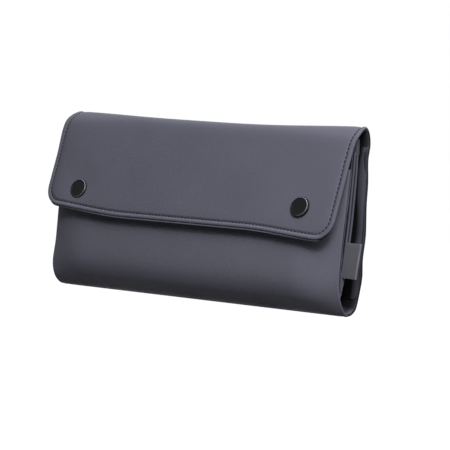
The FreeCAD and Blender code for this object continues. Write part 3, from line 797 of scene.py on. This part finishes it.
def elastic_loops():
    """The elastic band on the leaf's rear face, tacked down into a row of cable loops."""
    low, high = span("cable_loop_band")
    wide = high[0]
    count, rows, thick = 7, 9, 0.7
    centre = rows // 2
    pitch = 2 * wide / count
    xs = np.linspace(-wide, wide, count * 12 + 1)
    zs = np.linspace(low[2], high[2], rows)
    outer, inner, flat = (np.zeros((rows, len(xs), n)) for n in (3, 3, 2))
    for j, x in enumerate(xs):
        swing = abs(math.sin(math.pi * (x + wide) / pitch)) ** 0.6
        for i, z in enumerate(zs):
            share = leaf_strip.at_height(x, z) / leaf_strip.line(x)[2][-1]
            p, n = leaf_strip.at(x, np.array(share), 0.0)
            # the band stands off the leaf between its tacks, a little less along its edges
            stand = 0.6 + swing * (1 - 0.12 * abs(i - centre) / centre)
            outer[i, j], inner[i, j], flat[i, j] = p + n * (stand + thick), p + n * stand, (x, z)
    return closed_sheet("cable_loop_elastic", outer, inner, flat, ELASTIC)


loops = elastic_loops()
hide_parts("cable_loop_band")


def between_panels(side, z):
    """Y at one end of the pouch of the front panel's inner face and of the leaf's front face."""
    panel, sheet = front_strip.line(side * HALF)[0], leaf_strip.line(side * HALF)[0]
    front = np.interp(z, panel[:, 1], panel[:, 0]) + THICK + LINING_GAP
    rear = np.interp(z, sheet[:, 1], sheet[:, 0]) - LEAF_GAP
    return front + (ROLL if side < 0 else 0), rear


def gusset(side):
    """A side gusset: a sheet folded inwards between the front panel's end and the leaf's."""
    foot, top, cloth = 12.5, 94.0, 0.44
    outer, inner, flat = [], [], []
    for z in np.linspace(foot, top, 30):
        front, rear = between_panels(side, z)
        gap = max(rear - front, 0.8)
        tuck = min(5.0, 1.9 + gap * 0.6) + 0.5 * math.sin(z / 7 + side)
        # two tucks inwards with a crest between them, as (share of the gap, depth in from the end)
        near = [(0.13, 2.2), (0.24, tuck), (0.39, 2.2)]
        far = [(0.61, 2.2), (0.76, tuck), (0.88, 2.2)]
        path = [(HALF - 3.0, front - 0.3), (HALF - 0.7, front + 0.1)]
        for share, depth in [*near, (0.5, 0.3), *far]:
            path.append((HALF - depth, front + gap * (share + 0.03 * math.sin(z / 9 + 5 * share))))
        path += [(HALF - 1.0, rear - 0.1), (HALF - 3.0, rear + 0.2)]
        q, length = curve_through(path, 220)
        at = np.linspace(0, length[-1], 45)
        x, y = np.interp(at, length, q[:, 0]), np.interp(at, length, q[:, 1])
        tangent = np.stack([np.gradient(x), np.gradient(y)], 1)
        tangent /= np.linalg.norm(tangent, axis=1)[:, None]
        nx, ny = tangent[:, 1] * cloth / 2, -tangent[:, 0] * cloth / 2
        outer.append(np.stack([side * (x + nx), y + ny, 0 * x + z], 1))
        inner.append(np.stack([side * (x - nx), y - ny, 0 * x + z], 1))
        flat.append(np.stack([at, 0 * at + z], 1))
    word = "right" if side > 0 else "left"
    grids = np.array(outer), np.array(inner), np.array(flat)
    piece = closed_sheet(f"gusset_cloth_{word}", *grids, GUSSET)
    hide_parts(f"gusset_front_{word}", f"gusset_rear_{word}")
    return piece


gussets = [gusset(side) for side in (-1, 1)]

# the label's fold and its lower woven edge are lighter; here X and Y are measured on the label
LABEL = twill(
    "woven_label", colour(89, 89, 96), 0.7, ribs=0.0006, contrast=0.12, depth=0.00006,
    shades=[("X", 14.2, 14.9, 1.5), ("Y", 1.1, 0.5, 1.3)],
)


def woven_label():
    """The folded label in the right gusset, left bare: two layers that meet in a rounded fold."""
    low, high = span("side_label")
    z0, z1 = low[2], high[2]
    x0, x1 = HALF - 4.5, high[0]
    fold = 0.5  # the folded edge's rounding
    border = np.array([0, 0.15, 0.5, 1.0])
    zs = np.concatenate([z0 + border, np.linspace(z0 + 2, z1 - 2, 12), z1 - border[::-1]])
    xs = np.concatenate([np.linspace(x0, x1 - 1.2, 9), x1 - np.array([0.8, 0.45, 0.2, 0.05, 0.0])])
    u = (xs - x0) / (x1 - x0)
    r = np.minimum(x1 - xs, fold) / fold
    outer, inner, flat = [], [], []
    for z in zs:
        front, rear = between_panels(1, z)
        y = front + 0.56 * (rear - front)
        d = min(z - z0, z1 - z)
        t = 0.42 * (0.35 + 0.65 * smooth(0, 0.9, d)) + 0.08 * bump(0.7, 0.4, d)
        bend = -2.2 * u**1.4 - 0.8 * u * (z1 - z) / (z1 - z0) + 0.2 * np.sin(z / 5.5) * u
        layer = t * np.sqrt(np.clip(1 - (1 - r) ** 2, 0, 1)) + 0.10 * bump(0.9, 0.5, x1 - xs)
        outer.append(np.stack([xs, y + bend - layer, 0 * xs + z], 1))
        inner.append(np.stack([xs, y + bend + layer, 0 * xs + z], 1))
        flat.append(np.stack([xs - x0, 0 * xs + z - z0], 1))
    grids = np.array(outer), np.array(inner), np.array(flat)
    piece = closed_sheet("side_label_cloth", *grids, LABEL)
    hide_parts("side_label")
    return piece


label = woven_label()

# ---------------------------------------------------------------- sewing

PITCH = 2.5  # from one stitch to the next
DASH = 1.95  # a stitch's length
SIDES = 6  # round a thread
# along a stitch: (share of its length, how deep it sinks, how thick it is)
STITCH = [(0, 0.5, 0.6), (0.18, 0.08, 1), (0.5, 0, 1.05), (0.82, 0.08, 1), (1, 0.5, 0.6)]


def stitches(name, strip, runs, size=0.38, depth=0.45):
    """Machine stitches along runs of (x, s) points on a strip, this deep under its outer face."""
    vertices, faces, flat = [], [], []
    length = strip.length()
    ring = [2 * math.pi * k / SIDES for k in range(SIDES)]
    for run in runs:
        q, total = curve_through(run, 600) if len(run) > 2 else line_through(run)
        for k in range(int((total[-1] - DASH) // PITCH) + 1):
            start = PITCH * k + (total[-1] % PITCH) / 2
            centres, normals = [], []
            for step, sink, _ in STITCH:
                s = start + DASH * step
                x, v = np.interp(s, total, q[:, 0]), np.interp(s, total, q[:, 1])
                p, n = strip.at(x, np.array(v / length), 0.0)
                centres.append(p - n * (depth + sink))
                normals.append(n)
            base = len(vertices)
            way = centres[-1] - centres[0]
            way /= np.linalg.norm(way)
            for centre, n, (_, _, scale) in zip(centres, normals, STITCH):
                across = np.cross(way, n)
                for a in ring:
                    out = across * math.cos(a) + n * 0.8 * math.sin(a)
                    vertices.append(centre + size * scale * out)
                    flat.append((DASH * len(vertices) % 7, a))
            for row in range(base, base + SIDES * (len(STITCH) - 1), SIDES):
                for a in range(SIDES):
                    b = (a + 1) % SIDES
                    faces.append([row + a, row + b, row + SIDES + b, row + SIDES + a])
    return make_object(name, vertices, faces, THREAD, np.array(flat))


def line_through(run):
    """A straight run between two points, in the form of curve_through."""
    q = np.array(run, float)
    steps = np.linspace(0, 1, 50)[:, None]
    q = q[0] + (q[1] - q[0]) * steps
    return q, np.concatenate([[0], np.cumsum(np.linalg.norm(np.diff(q, axis=0), axis=1))])


def rim_run(strip, start, side_seam, foot_seam):
    """Down one side, along the free edge and up the other, a seam's width inside the edge."""
    w, end, (left, right) = strip.wide, strip.closed_end, strip.corners
    above, beside = 6, 8  # how far the straight parts' last points keep from a corner
    run = [(-(w - side_seam), s) for s in np.linspace(start, end - left - above, 8)]
    for a in np.linspace(0, math.pi / 2, 7):
        x = -(w - left) - (left - side_seam) * math.cos(a)
        run.append((x, end - left + (left - foot_seam) * math.sin(a)))
    run += [(x, end - foot_seam) for x in np.linspace(-(w - left - beside), w - right - beside, 12)]
    for a in np.linspace(math.pi / 2, 0, 7):
        x = (w - right) + (right - side_seam) * math.cos(a)
        run.append((x, end - right + (right - foot_seam) * math.sin(a)))
    run += [(w - side_seam, s) for s in np.linspace(end - right - above, start, 8)]
    return run


flap_thread = stitches("flap_topstitch", flap_strip, [rim_run(flap_strip, 1.0, SEAM, FOOT_SEAM)])
back_end = back_strip.length() - 0.5
back_runs = [[(x, 12), (x, back_end)] for x in (-(HALF - SEAM), HALF - SEAM)]
back_thread = stitches("back_topstitch", back_strip, back_runs)
hem = pocket_s - 3.2
hem_run = [(-HALF + 1, hem), (HALF - 1, hem)]
pocket_thread = stitches("pocket_hem_stitch", pocket_strip, [hem_run], size=0.4, depth=0.0)

# ---------------------------------------------------------------- bodies


def blend_over(piece):
    """Bakes a piece's placement into its mesh."""
    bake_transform(piece)


# back and flap cloth meet between the top fold's two hinges
for piece in (back_cover, back_lining, back_thread):
    blend_over(piece)
for piece in (flap_cover, flap_lining, flap_thread):
    blend_over(piece)
# the front panel's pieces and the gussets, which run from the panel's end to the leaf's, are baked
# in place
for piece in (front_cover, front_lining):
    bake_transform(piece)
for piece in gussets:
    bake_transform(piece)
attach(leaf, "leaf")
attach(binding, "leaf")
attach(loops, "leaf")
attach(pocket, "back")
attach(pocket_thread, "back")
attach(label, "front")

STRETCHED = (
    (back_lining, back_strip),
    (flap_lining, flap_strip),
    (front_lining, front_strip),
    (leaf, leaf_strip),
    (pocket, pocket_strip),
)
for piece, strip in STRETCHED:
    strip.length() * MM

NODE_MATERIALS = {
    "snap_cap": CAP,
    "snap_socket": METAL,
    "snap_spring": SPRING,
    "snap_stud": METAL,
    "snap_post": METAL,
}
for node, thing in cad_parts.items():
    for start, material in NODE_MATERIALS.items():
        if node.startswith(start):
            for place in thing.material_slots:
                place.material = material
            if not thing.material_slots:
                thing.data.materials.append(material)

# ---------------------------------------------------------------- stage, light and camera

GROUND = (0.12, 0.8)  # the ground's grey where light bounces off it, and where the camera sees it
GLOW = 1.076  # how bright it also shines for the camera, which lifts it to white
GLOW_SHARE = 0.93  # the rest of what the camera sees is the lit ground with the pouch's shadow
WORLD = 0.04  # the world's light on the pouch

# name, azimuth and elevation in degrees, distance, width and height in metres, power in watts
LAMPS = [
    ("key", 42, 36, 0.75, 0.36, 0.57, 4.0),
    ("top", 20, 80, 1.2, 0.8, 0.4, 4.2),
    ("fill", 40, 30, 1.3, 0.5, 0.15, 5.7),
    ("side", 66, 26, 0.6, 0.3, 0.3, 0.6),
    ("rear", 185, 55, 1.3, 0.9, 0.6, 17),
    ("left", -100, 20, 1.3, 0.5, 0.5, 0.2),
]
LAMPS_AIM = Vector((0, 0, 0.05))

CAMERA_WAY = (math.radians(37.15), math.radians(1.35))  # azimuth and elevation
CAMERA_ROLL = math.radians(4.25)
CAMERA_AIM = Vector((0.0156, 0, 0.0459))
CAMERA_DISTANCE = 1.292
LENS, SENSOR = 173.3, 36
WHITE = (1, 1, 1, 1)


def seen_directly(tree):
    """1 for rays straight from the camera, or off gloss or through glass, and 0 for the rest."""
    path = tree.nodes.new("ShaderNodeLightPath")
    value = path.outputs["Is Camera Ray"]
    for name in ("Is Glossy Ray", "Is Transmission Ray"):
        larger = tree.nodes.new("ShaderNodeMath")
        larger.operation = "MAXIMUM"
        tree.links.new(value, larger.inputs[0])
        tree.links.new(path.outputs[name], larger.inputs[1])
        value = larger.outputs[0]
    return value


def paper():
    """White ground: seen as plain white, but lit and shaded enough to keep the pouch's shadow."""
    ground = bpy.data.materials.new("white_ground")
    ground.use_nodes = True
    tree = ground.node_tree
    main = tree.nodes["Principled BSDF"]
    shade = tree.nodes.new("ShaderNodeMapRange")
    shade.inputs["To Min"].default_value, shade.inputs["To Max"].default_value = GROUND
    tree.links.new(seen_directly(tree), shade.inputs["Value"])
    tree.links.new(shade.outputs[0], main.inputs["Base Color"])
    main.inputs["Roughness"].default_value = 0.9
    main.inputs["Specular IOR Level"].default_value = 0.1
    glow = tree.nodes.new("ShaderNodeEmission")
    glow.inputs["Color"].default_value = WHITE
    glow.inputs["Strength"].default_value = GLOW
    share = tree.nodes.new("ShaderNodeMath")
    share.operation = "MULTIPLY"
    share.inputs[1].default_value = GLOW_SHARE
    tree.links.new(seen_directly(tree), share.inputs[0])
    mix = tree.nodes.new("ShaderNodeMixShader")
    tree.links.new(share.outputs[0], mix.inputs[0])
    tree.links.new(main.outputs[0], mix.inputs[1])
    tree.links.new(glow.outputs[0], mix.inputs[2])
    tree.links.new(mix.outputs[0], tree.nodes["Material Output"].inputs["Surface"])
    return ground


def backdrop():
    """A round floor, 6 m in radius and 0.2 mm under the pouch."""
    mesh = bpy.data.meshes.new("floor")
    edit = bmesh.new()
    bmesh.ops.create_circle(edit, cap_ends=True, segments=64, radius=6)
    edit.to_mesh(mesh)
    edit.free()
    mesh.materials.append(paper())
    floor = bpy.data.objects.new("floor", mesh)
    floor.location.z = -0.0002
    bpy.context.collection.objects.link(floor)


def sky():
    """A faint world for the pouch that looks plain white itself."""
    world = bpy.data.worlds.new("studio")
    bpy.context.scene.world = world
    world.use_nodes = True
    tree = world.node_tree
    light = tree.nodes["Background"]
    light.inputs["Color"].default_value = WHITE
    light.inputs["Strength"].default_value = WORLD
    white = tree.nodes.new("ShaderNodeBackground")
    white.inputs["Color"].default_value = WHITE
    white.inputs["Strength"].default_value = 1.0
    mix = tree.nodes.new("ShaderNodeMixShader")
    tree.links.new(seen_directly(tree), mix.inputs[0])
    tree.links.new(light.outputs[0], mix.inputs[1])
    tree.links.new(white.outputs[0], mix.inputs[2])
    tree.links.new(mix.outputs[0], tree.nodes["World Output"].inputs["Surface"])


def away_from(azimuth, elevation):
    """The way from the pouch to a place seen at these angles; azimuth 0 is in front of it."""
    level = math.cos(elevation)
    return Vector((math.sin(azimuth) * level, -math.cos(azimuth) * level, math.sin(elevation)))


def lamp(name, azimuth, elevation, distance, wide, high, power):
    """A soft box lamp aimed at the pouch."""
    data = bpy.data.lights.new(name, "AREA")
    data.shape = "RECTANGLE"
    data.size, data.size_y = wide, high
    data.energy = power
    thing = bpy.data.objects.new(name, data)
    away = away_from(math.radians(azimuth), math.radians(elevation))
    thing.location = LAMPS_AIM + away * distance
    thing.rotation_euler = away.to_track_quat("Z", "Y").to_euler()
    thing.visible_camera = False
    bpy.context.collection.objects.link(thing)


def camera():
    """A long lens in front of the pouch and to its right, rolled a little."""
    back = away_from(*CAMERA_WAY)
    right = (-back).cross(Vector((0, 0, 1))).normalized()
    up = right.cross(-back)
    x = right * math.cos(CAMERA_ROLL) + up * math.sin(CAMERA_ROLL)
    y = -right * math.sin(CAMERA_ROLL) + up * math.cos(CAMERA_ROLL)
    data = bpy.data.cameras.new("camera")
    data.lens, data.sensor_width = LENS, SENSOR
    data.clip_start = 0.01
    thing = bpy.data.objects.new("camera", data)
    turn = Matrix((x, y, back)).transposed().to_4x4()
    thing.matrix_world = Matrix.Translation(CAMERA_AIM + back * CAMERA_DISTANCE) @ turn
    bpy.context.collection.objects.link(thing)
    bpy.context.scene.camera = thing


backdrop()
sky()
for values in LAMPS:
    lamp(*values)
camera()
bpy.context.scene.view_settings.view_transform = "Standard"

bpy.context.view_layer.update()
